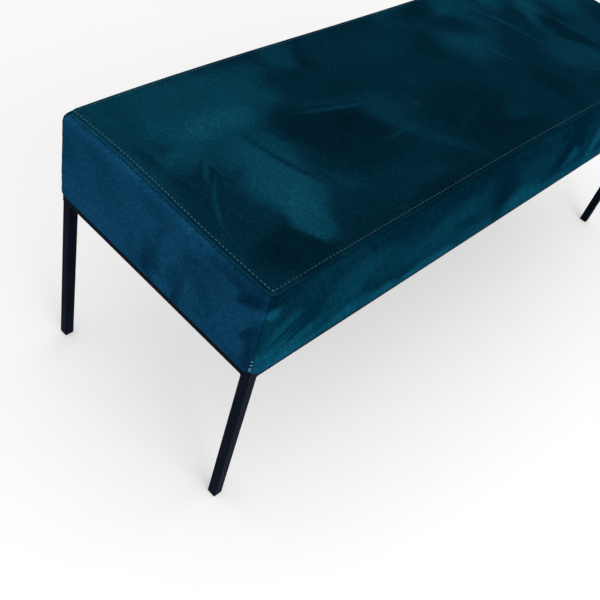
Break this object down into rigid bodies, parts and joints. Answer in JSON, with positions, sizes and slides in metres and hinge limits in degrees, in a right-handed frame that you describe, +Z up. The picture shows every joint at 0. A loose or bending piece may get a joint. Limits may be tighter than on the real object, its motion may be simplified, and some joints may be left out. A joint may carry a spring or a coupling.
{
  "type": "upholstered bench",
  "caption": "Backless bench: a thick boxed cushion in sewn velvet with a topstitched seam, on a slim black frame of square steel tube with straight corner legs.",
  "frame": {"origin": "on the floor under the middle of the bench", "axes": "+X along the bench, +Y from the front long side to the rear long side, +Z up"},
  "size_m": [1.216, 0.416, 0.4565],
  "materials": {
    "black_steel": "satin",
    "foot_plastic": "matte",
    "velvet": "satin",
    "plywood": "matte",
    "zinc_steel": "satin",
    "black_bolt": "satin",
    "dust_cloth": "matte",
    "firm_foam": "matte",
    "soft_foam": "matte",
    "fibre_wadding": "matte"
  },
  "bodies": {
    "root": {"front_rail": "black_steel", "rear_rail": "black_steel", "left_rail": "black_steel", "right_rail": "black_steel", "front_left_leg": "black_steel", "front_right_leg": "black_steel", "rear_left_leg": "black_steel", "rear_right_leg": "black_steel", "left_bearer": "black_steel", "right_bearer": "black_steel", "fixing_tabs": "black_steel", "weld_beads": "black_steel", "front_left_foot": "foot_plastic", "front_right_foot": "foot_plastic", "rear_left_foot": "foot_plastic", "rear_right_foot": "foot_plastic", "seat_board": "plywood", "tee_nuts": "zinc_steel", "fixing_bolts": "black_bolt", "washers": "zinc_steel", "dust_cover": "dust_cloth", "base_foam": "firm_foam", "top_foam": "soft_foam", "wadding": "fibre_wadding", "top_panel": "velvet", "front_boxing": "velvet", "rear_boxing": "velvet", "left_boxing": "velvet", "right_boxing": "velvet"}
  },
  "joints": []
}
